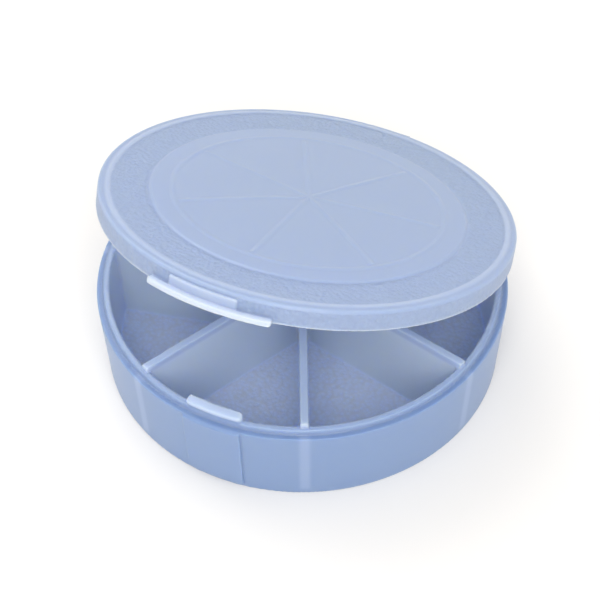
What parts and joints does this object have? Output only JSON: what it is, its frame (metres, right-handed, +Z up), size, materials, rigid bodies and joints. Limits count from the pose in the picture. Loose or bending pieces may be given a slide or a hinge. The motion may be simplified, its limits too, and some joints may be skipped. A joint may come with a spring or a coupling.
{
  "type": "pill organizer",
  "caption": "Round translucent plastic pill tray with radial dividers, a snap latch and a hinged lid with a thumb tab.",
  "frame": {"origin": "centre of the tray's flat base", "axes": "+Z up through the tray; -Y towards the latch; +Y towards the hinge, whose axis is along X"},
  "size_m": [0.086, 0.0898, 0.0526],
  "materials": {
    "tray_plastic": "translucent polypropylene, smooth walls, grained floor",
    "lid_plastic": "translucent polypropylene, grained edge band, smooth centre",
    "hinge_plastic": "thin translucent polypropylene web"
  },
  "bodies": {
    "tray": {"tray_floor": "tray_plastic", "tray_wall": "tray_plastic", "rim_lip": "tray_plastic", "divider_hub": "tray_plastic", "divider_1": "tray_plastic", "divider_2": "tray_plastic", "divider_3": "tray_plastic", "divider_4": "tray_plastic", "divider_5": "tray_plastic", "divider_6": "tray_plastic", "divider_7": "tray_plastic", "latch_catch": "tray_plastic", "latch_boss": "tray_plastic", "tray_hinge_leaf": "tray_plastic", "living_hinge": "hinge_plastic"},
    "lid": {"lid_panel": "lid_plastic", "lid_edge_ridge": "lid_plastic", "lid_skirt": "lid_plastic", "lid_latch_pocket": "lid_plastic", "lid_thumb_tab": "lid_plastic", "lid_disc": "lid_plastic", "day_ring": "lid_plastic", "day_line_1": "lid_plastic", "day_line_2": "lid_plastic", "day_line_3": "lid_plastic", "day_line_4": "lid_plastic", "day_line_5": "lid_plastic", "day_line_6": "lid_plastic", "day_line_7": "lid_plastic", "lid_hinge_leaf": "lid_plastic"}
  },
  "joints": [
    {"name": "lid_hinge", "type": "hinge", "parent": "tray", "child": "lid", "pos_m": [0, 0.046, 0.0209], "axis": [-1, 0, 0], "range_deg": [-19.33, 160.67], "deforming": ["living_hinge"]}
  ]
}
